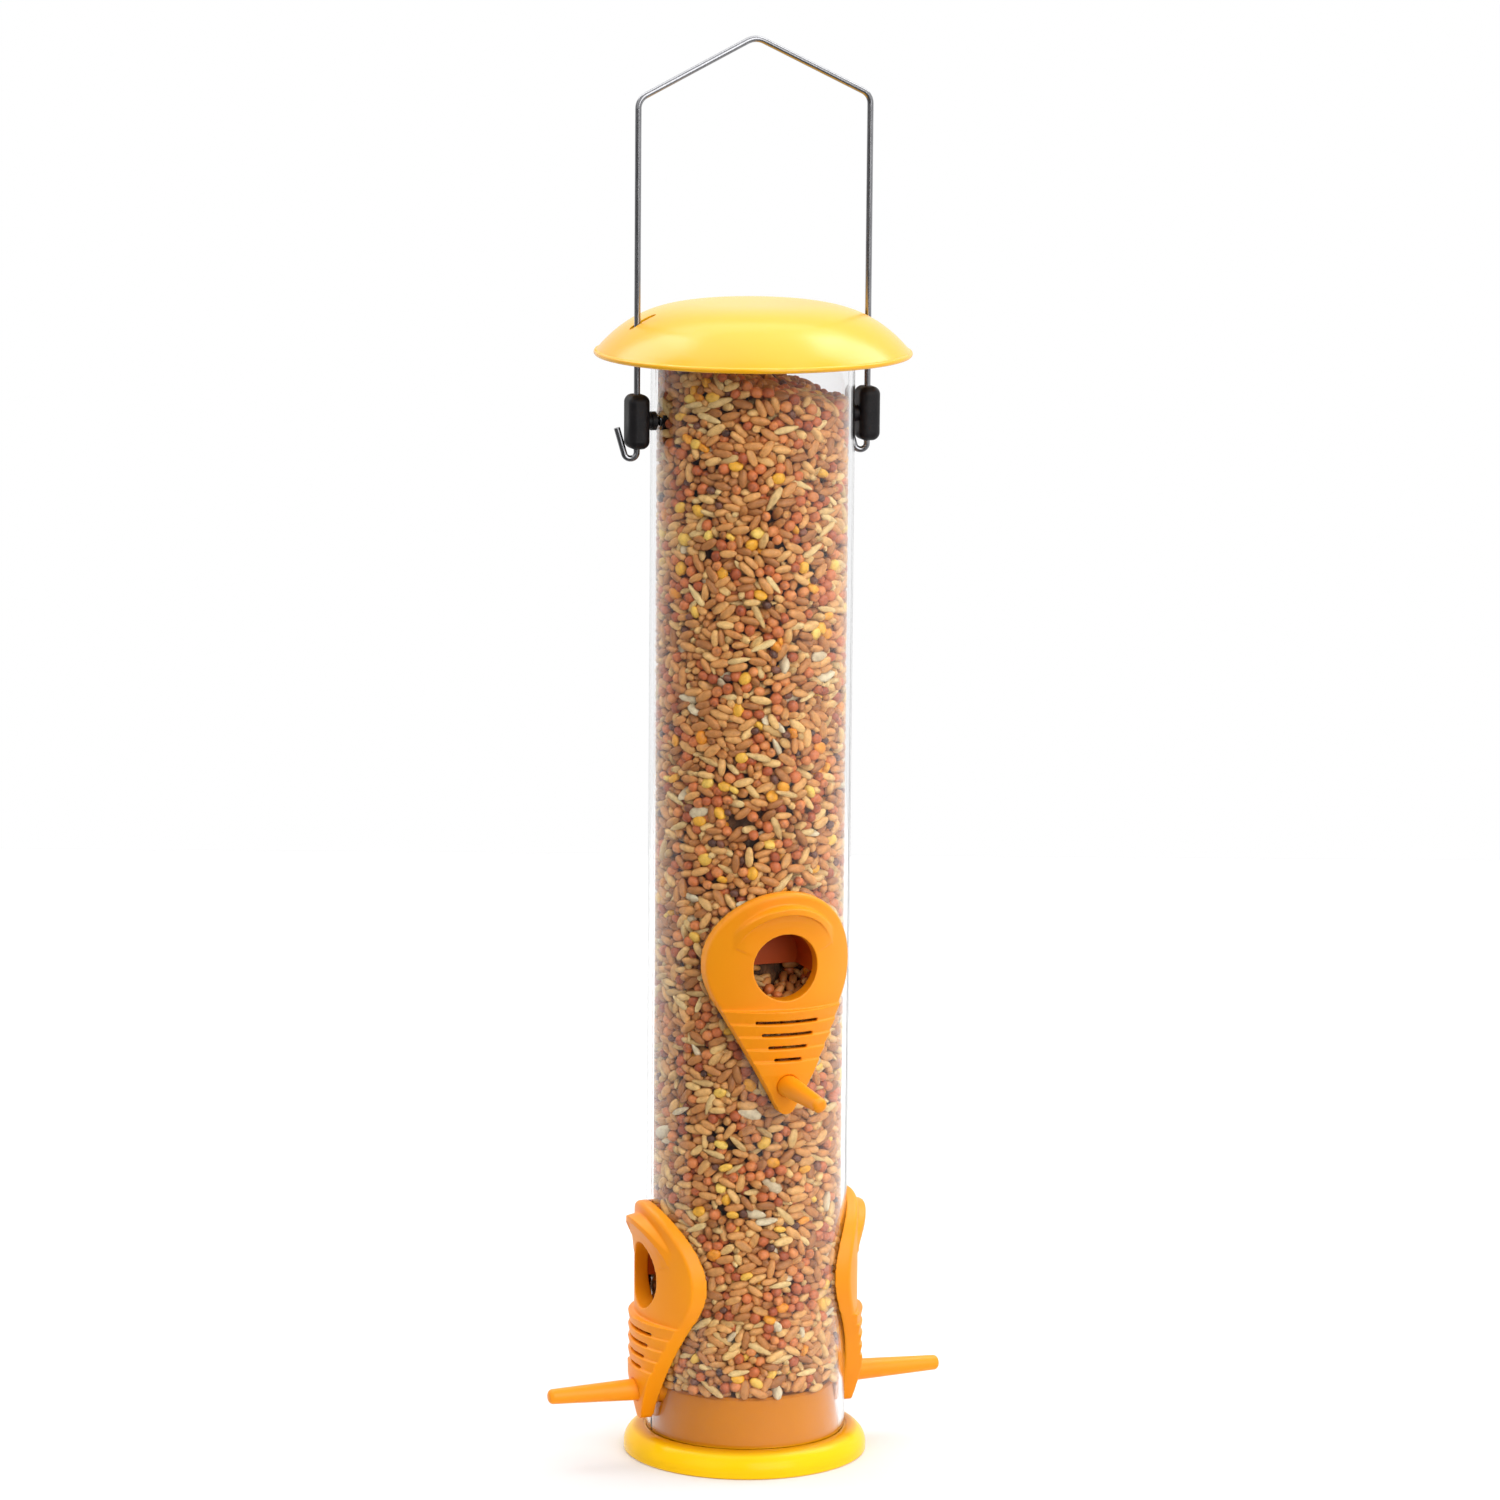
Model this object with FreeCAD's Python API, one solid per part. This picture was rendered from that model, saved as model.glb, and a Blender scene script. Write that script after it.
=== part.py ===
import FreeCAD, Part
import math
import os

from FreeCAD import Vector

# Hanging tube feeder for birds. Millimetres, +Z up, origin at the middle of the base's underside.
# The hanger lies in the XZ plane. The lower pair of ports faces -X and +X, the upper pair -Y and +Y.

# ---- driving dimensions ----

# clear tube
TUBE_R = 32.5
TUBE_WALL = 1.7
TUBE_INNER_R = TUBE_R - TUBE_WALL
TUBE_SEAT_Z = 8.0
# cutters through the wall run from well inside it to well outside
WALL_CUT_FROM = 20.0
WALL_CUT_TO = 40.0

# base: a plug inside the tube and a flange round its foot
FLANGE_R = 39.5
FLANGE_EDGE_Z = 2.0
FLANGE_TOP_Z = 8.3
FLANGE_GROOVE = 0.6
PLUG_TOP_Z = 24.0
PLUG_TOP_R = 28.3
PLUG_FOOT_R = 30.7
BASE_WALL = 2.4
FOOT_RING_R = 35.8
FOOT_EDGE = 0.5
FOOT_DRAFT = 0.4
FOOT_HOLLOW_Z = 4.6
PLUG_HOLLOW_Z = 6.0
PLUG_EDGE = 0.8
RECESS_CLEARANCE = 0.3
RECESS_OUTER_X = 32.0

# lid: a thin pressed dome with a rolled rim and two radial slots for the hanger's legs
LID_R = 50.65
LID_RIM_Z = 358.9
LID_RISE = 16.4
LID_POWER = 3.87
LID_SHEET = 0.9
LID_STEPS = 14
RIM_ROLL_R = 0.9
RIM_ROLL_LIFT = 0.3
SLOT_WIDTH = 2.7
SLOT_FROM_R = 32.8
SLOT_TO_R = 41.5
LID_SEAT_GAP = 0.3

# hanger: one bent wire, with a hook below each pivot block
WIRE_R = 1.0
LEG_X = 38.9
SHOULDER_Z = 440.0
APEX_Z = 459.0
SHOULDER_BEND_R = 4.5
APEX_BEND_R = 6.5
HOOK_BOTTOM_Z = 326.7
LEFT_HOOK_TIP_Z = 336.5
RIGHT_HOOK_TIP_Z = 331.8
HOOK_LEAN_DEG = 16.0
HOOK_BEND_R = 2.0
HOOK_TOWARDS_DEG = 165.0

# pivot blocks, which turn on stems through the tube's wall
PIVOT_Z = 338.5
BLOCK_HEIGHT = 17.4
BLOCK_RADIAL = 7.0
BLOCK_WIDTH = 9.0
BLOCK_ROUND = 2.6
WIRE_CLEARANCE = 0.08
NECK_R = 2.5
COLLAR_R = 3.0
COLLAR_FROM_R = 32.8
COLLAR_TO_R = 34.3
STEM_R = 2.0
STEM_CLEARANCE = 0.05
STEM_END_R = 27.9
WASHER_R = 3.0
WASHER_FROM_R = 29.0
WASHER_TO_R = 30.2

# feeding ports: outline of two circles and their tangents, moulded to the tube's curve
UPPER_PORT_Z = 167.0
LOWER_PORT_Z = 60.5
SHIELD_TOP_R = 24.2
SHIELD_TIP_R = 3.0
SHIELD_TIP_DROP = 44.7
SHIELD_FACE_R = 36.3
SHIELD_EDGE_ROUND = 1.6
# outlines are extruded from the tube's axis to beyond the hood
OUTLINE_DEPTH = 60.0
HOLE_R = 10.75
SPIGOT_R = 12.3
SPIGOT_INNER_END = 30.0
SPIGOT_OUTER_END = 33.0
SPIGOT_CLEARANCE = 0.05

# rain hood: an arched lip over the hole, which fades into the face at its ends
HOOD_R = 19.6
HOOD_THICK = 2.0
HOOD_CROWN_X = 40.0
HOOD_CURVE_R = 22.0

# louvred lower part of a shield
LOUVRE_CROWN_X = 38.7
LOUVRE_CURVE_R = 31.0
LOUVRE_TOP_DROP = 13.8
LOUVRE_PITCH = 4.05
LOUVRE_STEP = 0.8
LOUVRE_EDGE = 0.2
LOUVRE_COUNT = 4
SLIT_HEIGHT = 1.0
SLIT_TOP_LENGTH = 21.0
SLIT_LENGTH_LOSS = 3.95
POCKET_DEPTH_R = 36.2
POCKET_HALF_WIDTH = 11.0
POCKET_TOP_GAP = 1.6
POCKET_FOOT_GAP = 1.4
POCKET_SIDE_DROP = 7.0
TIP_FACE_X = 36.6

# seed baffle: a scoop behind each hole that keeps the seed from running out
BAFFLE_WALL = 1.3
BAFFLE_BACK_X = 13.9
BAFFLE_SKIRT_DROP = 3.0

# perches and the caps that hold them inside
PERCH_DROP = 38.0
PERCH_ROOT_R = 3.65
PERCH_TIP_R = 2.45
PERCH_ROOT_X = 35.8
PERCH_TIP_X = 67.5
PERCH_END_ROUND = 1.6
PERCH_STEM_R = 2.3
PERCH_STEM_END_X = 27.4
CAP_R = 4.5
CAP_FROM_X = 26.2
CAP_TO_X = 30.1
CAP_ROUND = 0.8

# seed filling
SEED_CLEARANCE = 0.9
SEED_STEM_CLEARANCE = 0.5
SEED_TOP_Z = 353.0
SEED_TOP_SLOPE = 0.30
SEED_SLOPE_TOWARDS_DEG = -20.0
SEED_PORT_SLOPE_DEG = 20.8
SEED_PORT_LEVEL = Vector(22.3, 0, -9.0)

Z_AXIS = Vector(0, 0, 1)
X_AXIS = Vector(1, 0, 0)
# middle of a quarter arc, as a share of its radius
HALF_ARC = math.sqrt(0.5)
# longer than any part is wide, for cutting tools
BIG = 200.0

# name, direction the port faces in degrees from +X, height of its hole
PORTS = [
    ("front", -90.0, UPPER_PORT_Z),
    ("back", 90.0, UPPER_PORT_Z),
    ("left", 180.0, LOWER_PORT_Z),
    ("right", 0.0, LOWER_PORT_Z),
]
SIDES = [("left", 180.0), ("right", 0.0)]


# ---- helpers ----

def rod(radius, x_from, x_to, z=0.0):
    """Round bar along X."""
    return Part.makeCylinder(radius, x_to - x_from, Vector(x_from, 0, z), X_AXIS)


def post(radius, z_from, z_to, x=0.0):
    """Round bar along Z, with its seam on the side away from +X."""
    bar = Part.makeCylinder(radius, z_to - z_from, Vector(x, 0, z_from), Z_AXIS)
    bar.rotate(Vector(x, 0, 0), Z_AXIS, 180)
    return bar


def block(x_from, x_to, half_width, z_from, z_to):
    """Box centred on the XZ plane."""
    corner = Vector(x_from, -half_width, z_from)
    return Part.makeBox(x_to - x_from, 2 * half_width, z_to - z_from, corner)


def line(start, end):
    return Part.LineSegment(start, end).toShape()


def turned(outline_edges, axis_point, axis):
    """Solid of revolution of a closed outline."""
    face = Part.Face(Part.Wire(outline_edges))
    return face.revolve(axis_point, axis, 360)


def polygon_edges(points):
    return [line(points[i], points[(i + 1) % len(points)]) for i in range(len(points))]


def rounded_wire(points, radii):
    """Path through points, each inner corner rounded to its radius."""
    edges = []
    start = points[0]
    for before, corner, after, radius in zip(points, points[1:], points[2:], radii):
        back = (before - corner).normalize()
        ahead = (after - corner).normalize()
        half_angle = math.acos(back.dot(ahead)) / 2
        tangent = radius / math.tan(half_angle)
        arc_start = corner + back * tangent
        arc_end = corner + ahead * tangent
        inwards = (back + ahead).normalize()
        arc_middle = corner + inwards * (radius / math.sin(half_angle) - radius)
        edges.append(line(start, arc_start))
        edges.append(Part.Arc(arc_start, arc_middle, arc_end).toShape())
        start = arc_end
    edges.append(line(start, points[-1]))
    return Part.Wire(edges)


def place(shape, facing_deg, z=0.0):
    """Turn a shape made facing +X to its side of the tube, and lift it."""
    placed = shape.copy()
    placed.rotate(Vector(0, 0, 0), Z_AXIS, facing_deg)
    placed.translate(Vector(0, 0, z))
    return placed


def single(shape):
    """The one solid of a finished boolean."""
    solids = shape.removeSplitter().Solids
    assert len(solids) == 1, len(solids)
    assert solids[0].isValid()
    return solids[0]


def lid_height(radius):
    """Height of the lid's outer face at a radius."""
    return LID_RIM_Z + LID_RISE * (1 - (radius / LID_R) ** LID_POWER)


TUBE_TOP_Z = lid_height(TUBE_R) - LID_SHEET - LID_SEAT_GAP


# ---- sub-parts ----

def make_tube():
    tube = post(TUBE_R, TUBE_SEAT_Z, TUBE_TOP_Z)
    tube = tube.cut(post(TUBE_INNER_R, 0, TUBE_TOP_Z + 1))
    holes = []
    for _, facing, port_z in PORTS:
        holes.append(place(rod(SPIGOT_R + SPIGOT_CLEARANCE, WALL_CUT_FROM, WALL_CUT_TO), facing, port_z))
        stem_hole = rod(PERCH_STEM_R + SPIGOT_CLEARANCE, WALL_CUT_FROM, WALL_CUT_TO)
        holes.append(place(stem_hole, facing, port_z - PERCH_DROP))
    for _, facing in SIDES:
        pivot_hole = rod(STEM_R + STEM_CLEARANCE, WALL_CUT_FROM, WALL_CUT_TO)
        holes.append(place(pivot_hole, facing, PIVOT_Z))
    for hole in holes:
        tube = tube.cut(hole)
    return single(tube)


def make_base():
    groove_r = TUBE_R + FLANGE_GROOVE
    arc_middle = Vector(
        groove_r + (FLANGE_R - groove_r) * HALF_ARC, 0,
        FLANGE_EDGE_Z + (FLANGE_TOP_Z - FLANGE_EDGE_Z) * HALF_ARC)
    top_edge = Vector(groove_r, 0, FLANGE_TOP_Z)
    side_edge = Vector(FLANGE_R, 0, FLANGE_EDGE_Z)
    points = [
        Vector(FLANGE_R, 0, FOOT_EDGE), Vector(FLANGE_R - FOOT_EDGE, 0, 0), Vector(FOOT_RING_R, 0, 0),
        Vector(FOOT_RING_R - FOOT_DRAFT, 0, FOOT_HOLLOW_Z), Vector(PLUG_FOOT_R - BASE_WALL, 0, PLUG_HOLLOW_Z),
        Vector(PLUG_TOP_R - BASE_WALL, 0, PLUG_TOP_Z - BASE_WALL), Vector(0, 0, PLUG_TOP_Z - BASE_WALL),
        Vector(0, 0, PLUG_TOP_Z), Vector(PLUG_TOP_R - PLUG_EDGE, 0, PLUG_TOP_Z),
        Vector(PLUG_TOP_R, 0, PLUG_TOP_Z - PLUG_EDGE), Vector(PLUG_FOOT_R, 0, TUBE_SEAT_Z),
        Vector(groove_r, 0, TUBE_SEAT_Z), top_edge]
    edges = [line(side_edge, points[0])]
    edges += [line(a, b) for a, b in zip(points, points[1:])]
    edges.append(Part.Arc(top_edge, arc_middle, side_edge).toShape())
    base = turned(edges, Vector(0, 0, 0), Z_AXIS)
    # recesses in the plug for the caps of the lower perches
    perch_z = LOWER_PORT_Z - PERCH_DROP
    recess_r = CAP_R + RECESS_CLEARANCE
    recess_x = CAP_FROM_X - RECESS_CLEARANCE
    for _, facing in SIDES:
        recess = rod(recess_r, recess_x, RECESS_OUTER_X, perch_z)
        recess = recess.fuse(block(recess_x, RECESS_OUTER_X, recess_r, perch_z, PLUG_TOP_Z + 5))
        base = base.cut(place(recess, facing))
    return single(base)


def make_lid():
    shell_r = LID_R - RIM_ROLL_R
    radii = [shell_r * i / LID_STEPS for i in range(LID_STEPS + 1)]
    outer = Part.BSplineCurve()
    outer.interpolate([Vector(r, 0, lid_height(r)) for r in radii])
    inner = Part.BSplineCurve()
    inner.interpolate([Vector(r, 0, lid_height(r) - LID_SHEET) for r in radii])
    outer_rim = Vector(shell_r, 0, lid_height(shell_r))
    inner_rim = Vector(shell_r, 0, lid_height(shell_r) - LID_SHEET)
    apex = Vector(0, 0, lid_height(0))
    edges = [outer.toShape(), line(outer_rim, inner_rim), inner.toShape(),
             line(apex, apex - Z_AXIS * LID_SHEET)]
    dome = turned(Part.__sortEdges__(edges), Vector(0, 0, 0), Z_AXIS)
    roll = Part.makeTorus(LID_R - RIM_ROLL_R, RIM_ROLL_R, Vector(0, 0, LID_RIM_Z + RIM_ROLL_LIFT))
    lid = dome.fuse(roll)
    for _, facing in SIDES:
        half = SLOT_WIDTH / 2
        slot = block(SLOT_FROM_R + half, SLOT_TO_R - half, half, 0, BIG * 2)
        for end in (SLOT_FROM_R + half, SLOT_TO_R - half):
            slot = slot.fuse(post(half, 0, BIG * 2, end))
        lid = lid.cut(place(slot, facing))
    return single(lid)


def make_hanger_wire():
    lean = math.radians(HOOK_LEAN_DEG)
    towards = math.radians(HOOK_TOWARDS_DEG)
    sideways = Vector(math.cos(towards), math.sin(towards), 0)
    # the hook's two straight stretches meet here if its bend is left out
    corner_z = HOOK_BOTTOM_Z + HOOK_BEND_R - HOOK_BEND_R / math.tan(lean / 2)
    points = []
    for x, tip_z in ((-LEG_X, LEFT_HOOK_TIP_Z), (LEG_X, RIGHT_HOOK_TIP_Z)):
        tip = Vector(x, 0, tip_z) + sideways * (tip_z - corner_z) * math.tan(lean)
        points.append([tip, Vector(x, 0, corner_z), Vector(x, 0, SHOULDER_Z)])
    path = points[0] + [Vector(0, 0, APEX_Z)] + points[1][::-1]
    radii = [HOOK_BEND_R, SHOULDER_BEND_R, APEX_BEND_R, SHOULDER_BEND_R, HOOK_BEND_R]
    spine = rounded_wire(path, radii)
    start_direction = (path[1] - path[0]).normalize()
    section = Part.Wire(Part.makeCircle(WIRE_R, path[0], start_direction))
    wire = spine.makePipeShell([section], True, True)
    return single(wire)


def make_pivot_block():
    half = BLOCK_HEIGHT / 2
    body = block(LEG_X - BLOCK_RADIAL / 2, LEG_X + BLOCK_RADIAL / 2, BLOCK_WIDTH / 2,
                 PIVOT_Z - half, PIVOT_Z + half)
    body = body.makeFillet(BLOCK_ROUND, body.Edges)
    inner_face = LEG_X - BLOCK_RADIAL / 2
    body = body.fuse(rod(NECK_R, COLLAR_FROM_R, inner_face + 1, PIVOT_Z))
    body = body.fuse(rod(COLLAR_R, COLLAR_FROM_R, COLLAR_TO_R, PIVOT_Z))
    body = body.fuse(rod(STEM_R, STEM_END_R, inner_face, PIVOT_Z))
    hole = post(WIRE_R + WIRE_CLEARANCE, PIVOT_Z - half - 1, PIVOT_Z + half + 1, LEG_X)
    return single(body.cut(hole))


def make_pivot_washer():
    washer = rod(WASHER_R, WASHER_FROM_R, WASHER_TO_R, PIVOT_Z)
    return single(washer.cut(rod(STEM_R, WASHER_FROM_R - 1, WASHER_TO_R + 1, PIVOT_Z)))


def shield_outline():
    """Teardrop prism along X: a large circle round the hole, a small one at the tip, and tangents."""
    lean = math.asin((SHIELD_TOP_R - SHIELD_TIP_R) / SHIELD_TIP_DROP)
    across, down = math.cos(lean), math.sin(lean)
    top_right = Vector(0, SHIELD_TOP_R * across, -SHIELD_TOP_R * down)
    top_left = Vector(0, -top_right.y, top_right.z)
    tip_z = -SHIELD_TIP_DROP
    tip_right = Vector(0, SHIELD_TIP_R * across, tip_z - SHIELD_TIP_R * down)
    tip_left = Vector(0, -tip_right.y, tip_right.z)
    edges = [
        Part.Arc(top_left, Vector(0, 0, SHIELD_TOP_R), top_right).toShape(),
        line(top_right, tip_right),
        Part.Arc(tip_right, Vector(0, 0, tip_z - SHIELD_TIP_R), tip_left).toShape(),
        line(tip_left, top_left)]
    return Part.Face(Part.Wire(edges)).extrude(X_AXIS * OUTLINE_DEPTH)


def louvre_body():
    """Stepped lower part: a saw-tooth outline turned about an upright axis."""
    axis_x = LOUVRE_CROWN_X - LOUVRE_CURVE_R
    top = -LOUVRE_TOP_DROP
    outline = [Vector(axis_x, 0, top), Vector(LOUVRE_CROWN_X, 0, top)]
    for tooth in range(1, LOUVRE_COUNT + 1):
        ledge_z = top - tooth * LOUVRE_PITCH
        outline.append(Vector(LOUVRE_CROWN_X - LOUVRE_STEP, 0, ledge_z))
        outline.append(Vector(LOUVRE_CROWN_X, 0, ledge_z - LOUVRE_EDGE))
    outline.append(Vector(LOUVRE_CROWN_X, 0, -PERCH_DROP + PERCH_ROOT_R))
    outline.append(Vector(TIP_FACE_X, 0, -SHIELD_TIP_DROP - SHIELD_TIP_R))
    outline.append(Vector(axis_x, 0, -SHIELD_TIP_DROP - SHIELD_TIP_R))
    axis_point = Vector(axis_x, 0, 0)
    body = turned(polygon_edges(outline), axis_point, Z_AXIS)
    body.rotate(axis_point, Z_AXIS, 180)
    return body


def make_shield():
    outline = shield_outline()
    plate = outline.common(post(SHIELD_FACE_R, -BIG, BIG))
    rim = [e for e in plate.Edges if e.BoundBox.XMin > WALL_CUT_FROM]
    plate = plate.makeFillet(SHIELD_EDGE_ROUND, rim)
    shield = plate.fuse(outline.common(louvre_body()))
    # rain hood
    arch = rod(HOOD_R, WALL_CUT_FROM, HOOD_CROWN_X).cut(rod(HOOD_R - HOOD_THICK, 0, BIG))
    arch = arch.common(post(HOOD_CURVE_R, 0, BIG, HOOD_CROWN_X - HOOD_CURVE_R))
    shield = shield.fuse(arch)
    # clear the tube, then add the spigot that goes through its wall
    shield = shield.cut(post(TUBE_R, -BIG, BIG))
    pocket_top = -LOUVRE_TOP_DROP - POCKET_TOP_GAP
    pocket_bottom = -LOUVRE_TOP_DROP - LOUVRE_COUNT * LOUVRE_PITCH - POCKET_FOOT_GAP
    pocket = block(0, OUTLINE_DEPTH, POCKET_HALF_WIDTH, pocket_bottom, pocket_top)
    shield = shield.cut(pocket.common(post(POCKET_DEPTH_R, -BIG, BIG)).common(outline_inset()))
    shield = shield.fuse(rod(SPIGOT_R, SPIGOT_INNER_END, SPIGOT_OUTER_END))
    shield = shield.cut(rod(HOLE_R, 0, BIG))
    for row in range(LOUVRE_COUNT):
        slit_z = -LOUVRE_TOP_DROP - (row + 1) * LOUVRE_PITCH
        half_length = (SLIT_TOP_LENGTH - row * SLIT_LENGTH_LOSS) / 2
        slit = block(WALL_CUT_FROM, OUTLINE_DEPTH, half_length, slit_z, slit_z + SLIT_HEIGHT)
        shield = shield.cut(slit)
    shield = shield.cut(rod(PERCH_STEM_R + SPIGOT_CLEARANCE, 0, BIG, -PERCH_DROP))
    shield = shield.cut(rod(PERCH_ROOT_R, PERCH_ROOT_X, BIG, -PERCH_DROP))
    return single(shield)


def outline_inset():
    """Wedge inside the tangents of the outline, which leaves a wall at each side of the pocket."""
    lean = math.asin((SHIELD_TOP_R - SHIELD_TIP_R) / SHIELD_TIP_DROP)
    apex_z = -SHIELD_TOP_R / math.sin(lean) + POCKET_SIDE_DROP
    half_width = -apex_z * math.tan(lean)
    points = [Vector(0, -half_width, 0), Vector(0, half_width, 0), Vector(0, 0, apex_z)]
    return Part.Face(Part.Wire(polygon_edges(points))).extrude(X_AXIS * OUTLINE_DEPTH)


def make_baffle():
    inner_r = SPIGOT_R - BAFFLE_WALL
    scoop = rod(SPIGOT_R, BAFFLE_BACK_X, SPIGOT_INNER_END)
    scoop = scoop.cut(rod(inner_r, BAFFLE_BACK_X + BAFFLE_WALL, BIG))
    return single(scoop.cut(block(0, WALL_CUT_TO, BIG, -BIG, -BAFFLE_SKIRT_DROP)))


def make_perch():
    end_x = PERCH_TIP_X - PERCH_END_ROUND
    round_middle = Vector(
        end_x + PERCH_END_ROUND * HALF_ARC, 0, PERCH_TIP_R - PERCH_END_ROUND * (1 - HALF_ARC))
    points = [
        Vector(PERCH_TIP_X, 0, 0), Vector(PERCH_STEM_END_X, 0, 0),
        Vector(PERCH_STEM_END_X, 0, PERCH_STEM_R), Vector(PERCH_ROOT_X, 0, PERCH_STEM_R),
        Vector(PERCH_ROOT_X, 0, PERCH_ROOT_R), Vector(end_x, 0, PERCH_TIP_R)]
    tip_edge = Vector(PERCH_TIP_X, 0, PERCH_TIP_R - PERCH_END_ROUND)
    edges = [line(a, b) for a, b in zip(points, points[1:])]
    edges.append(Part.Arc(points[-1], round_middle, tip_edge).toShape())
    edges.append(line(tip_edge, points[0]))
    return single(turned(edges, Vector(0, 0, 0), X_AXIS))


def make_perch_cap():
    cap = rod(CAP_R, CAP_FROM_X, CAP_TO_X)
    inner_edge = [e for e in cap.Edges if e.BoundBox.XMax < CAP_FROM_X + 0.1]
    cap = cap.makeFillet(CAP_ROUND, inner_edge)
    return single(cap.cut(rod(PERCH_STEM_R, PERCH_STEM_END_X, BIG)))


def make_seed_fill():
    radius = TUBE_INNER_R - SEED_CLEARANCE
    seed = post(radius, PLUG_TOP_Z + SEED_CLEARANCE, TUBE_TOP_Z + 20)
    # sloping top
    cover = Part.makeBox(BIG, BIG, BIG, Vector(-BIG / 2, -BIG / 2, 0))
    cover.rotate(Vector(0, 0, 0), Vector(0, 1, 0), math.degrees(math.atan(SEED_TOP_SLOPE)))
    cover = place(cover, SEED_SLOPE_TOWARDS_DEG, SEED_TOP_Z)
    seed = seed.cut(cover)
    # room for what stands in the seed: scoops with the drop of seed in each mouth, caps and washers
    above_seed = Part.makeBox(BIG, BIG, BIG, Vector(-BIG / 2, -BIG / 2, 0))
    above_seed.rotate(Vector(0, 0, 0), Vector(0, 1, 0), SEED_PORT_SLOPE_DEG)
    above_seed.translate(SEED_PORT_LEVEL)
    mouth = rod(SPIGOT_R + SEED_CLEARANCE, BAFFLE_BACK_X - SEED_CLEARANCE, WALL_CUT_TO).common(above_seed)
    cap_room = rod(CAP_R + SEED_CLEARANCE, CAP_FROM_X - SEED_CLEARANCE, WALL_CUT_TO, -PERCH_DROP)
    for _, facing, port_z in PORTS:
        seed = seed.cut(place(mouth, facing, port_z))
        seed = seed.cut(place(cap_room, facing, port_z))
    pivot_room = rod(WASHER_R + SEED_STEM_CLEARANCE, STEM_END_R - SEED_STEM_CLEARANCE, WALL_CUT_TO, PIVOT_Z)
    for _, facing in SIDES:
        seed = seed.cut(place(pivot_room, facing))
    return single(seed)


# ---- assembly ----

os.makedirs("parts", exist_ok=True)
nodes = {
    "tube": make_tube(),
    "base": make_base(),
    "lid": make_lid(),
    "hanger_wire": make_hanger_wire(),
    "seed_fill": make_seed_fill(),
}

pivot_block = make_pivot_block()
pivot_washer = make_pivot_washer()
for side, facing in SIDES:
    nodes["pivot_block_" + side] = place(pivot_block, facing)
    nodes["pivot_washer_" + side] = place(pivot_washer, facing)

shield = make_shield()
baffle = make_baffle()
perch = make_perch()
perch_cap = make_perch_cap()
for side, facing, port_z in PORTS:
    nodes["port_shield_" + side] = place(shield, facing, port_z)
    nodes["seed_baffle_" + side] = place(baffle, facing, port_z)
    nodes["perch_" + side] = place(perch, facing, port_z - PERCH_DROP)
    nodes["perch_cap_" + side] = place(perch_cap, facing, port_z - PERCH_DROP)

for name, shape in nodes.items():
    shape.exportStep(os.path.join("parts", name + ".step"))
    print(name, "volume", round(shape.Volume, 1), "mm3")
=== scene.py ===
import math

import bmesh
import bpy
import numpy as np
from mathutils import Matrix, Vector


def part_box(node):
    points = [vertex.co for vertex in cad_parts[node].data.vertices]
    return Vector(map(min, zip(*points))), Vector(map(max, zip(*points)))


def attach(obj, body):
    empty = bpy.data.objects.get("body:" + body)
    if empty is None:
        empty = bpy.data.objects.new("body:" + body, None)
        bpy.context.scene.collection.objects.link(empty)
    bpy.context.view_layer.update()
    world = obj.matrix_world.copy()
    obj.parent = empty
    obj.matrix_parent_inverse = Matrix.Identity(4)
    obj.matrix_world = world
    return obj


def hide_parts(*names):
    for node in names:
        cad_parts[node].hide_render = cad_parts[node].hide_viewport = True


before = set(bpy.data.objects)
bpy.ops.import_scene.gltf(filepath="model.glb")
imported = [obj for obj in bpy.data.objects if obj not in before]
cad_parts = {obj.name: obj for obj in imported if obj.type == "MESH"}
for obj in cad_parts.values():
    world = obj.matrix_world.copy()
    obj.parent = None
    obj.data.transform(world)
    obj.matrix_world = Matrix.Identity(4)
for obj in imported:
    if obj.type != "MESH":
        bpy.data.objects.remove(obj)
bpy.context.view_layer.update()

MM = 0.001
SIDES = ("front", "back", "left", "right")
PIVOT_SIDES = ("left", "right")
# direction each port faces, in degrees from +X
FACING = {"front": -90.0, "back": 90.0, "left": 180.0, "right": 0.0}


# ---- places, worked out from the frame ----

TUBE_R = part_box("tube")[1][0]
TUBE_WALL = 1.7 * MM
# the outermost that seed reaches, just clear of the tube's inner face
SEED_R = TUBE_R - TUBE_WALL - 0.15 * MM
SHIELD_TOP_R = 24.2 * MM


def port_centre_z(side):
    """Height of a port's hole: its shield's top edge is one outline radius above it."""
    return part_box("port_shield_" + side)[1][2] - SHIELD_TOP_R


# ---- node helpers ----

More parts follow.
